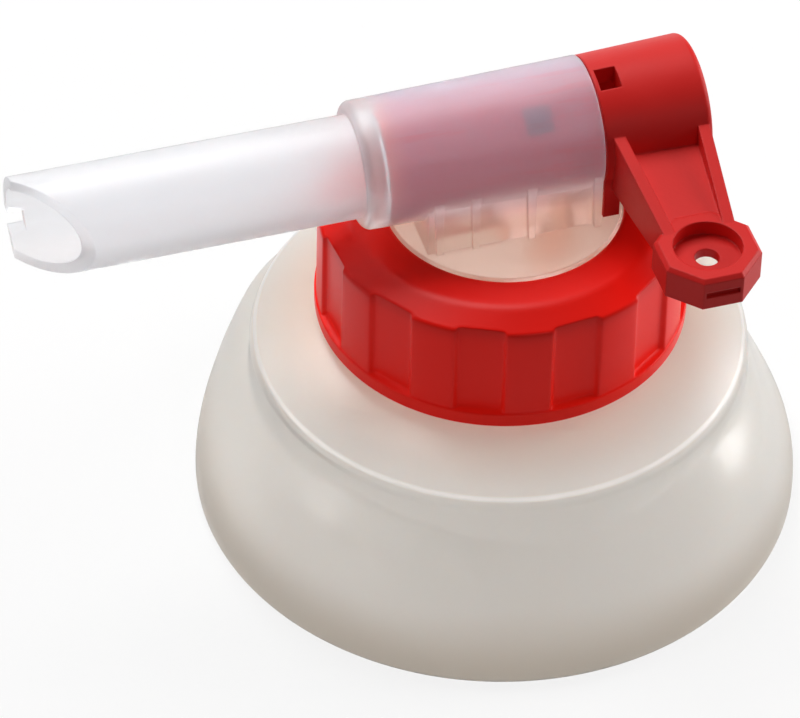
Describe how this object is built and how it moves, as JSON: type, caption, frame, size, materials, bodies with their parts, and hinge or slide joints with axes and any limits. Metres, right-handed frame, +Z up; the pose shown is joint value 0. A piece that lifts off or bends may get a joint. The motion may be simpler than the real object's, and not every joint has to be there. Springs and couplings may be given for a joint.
{
  "type": "bag in box tap",
  "caption": "Lever tap with a long oblique spout and an air-inlet key, held by a ribbed screw collar on the translucent moulded neck of a collapsible bag.",
  "frame": {"origin": "centre of the open lower rim of the bag neck", "axes": "+Z up the neck and collar axis to the tap, spout towards -X, lever of the closed tap towards -Y"},
  "size_m": [0.1497, 0.116, 0.0974],
  "materials": {
    "natural_polyethylene": "translucent natural polyethylene, soft satin",
    "foam_washer": "closed-cell foam, matt",
    "natural_tap_body": "translucent natural polyethylene, satin",
    "red_collar": "pigmented polyethylene, semi-gloss",
    "red_key": "pigmented moulding, satin"
  },
  "bodies": {
    "neck": {"bag_neck": "natural_polyethylene"},
    "tap": {"tap_body": "natural_tap_body", "sealing_washer": "foam_washer"},
    "collar": {"screw_collar": "red_collar"},
    "key": {"tap_key": "red_key"}
  },
  "joints": [
    {"name": "tap_lift", "type": "slide", "parent": "neck", "child": "tap", "axis": [0, 0, 1], "range_m": [0, 0.009]},
    {"name": "collar_turn", "type": "hinge", "parent": "tap", "child": "collar", "pos_m": [0, 0, 0.06], "axis": [0, 0, 1], "range_deg": [0, 540]},
    {"name": "key_turn", "type": "hinge", "parent": "tap", "child": "key", "pos_m": [0, 0, 0.08428], "axis": [-1, 0, 0], "range_deg": [0, 90]}
  ],
  "couplings": [
    {"joint": "tap_lift", "follows": "collar_turn", "m_per_rad": 0.00095493}
  ]
}
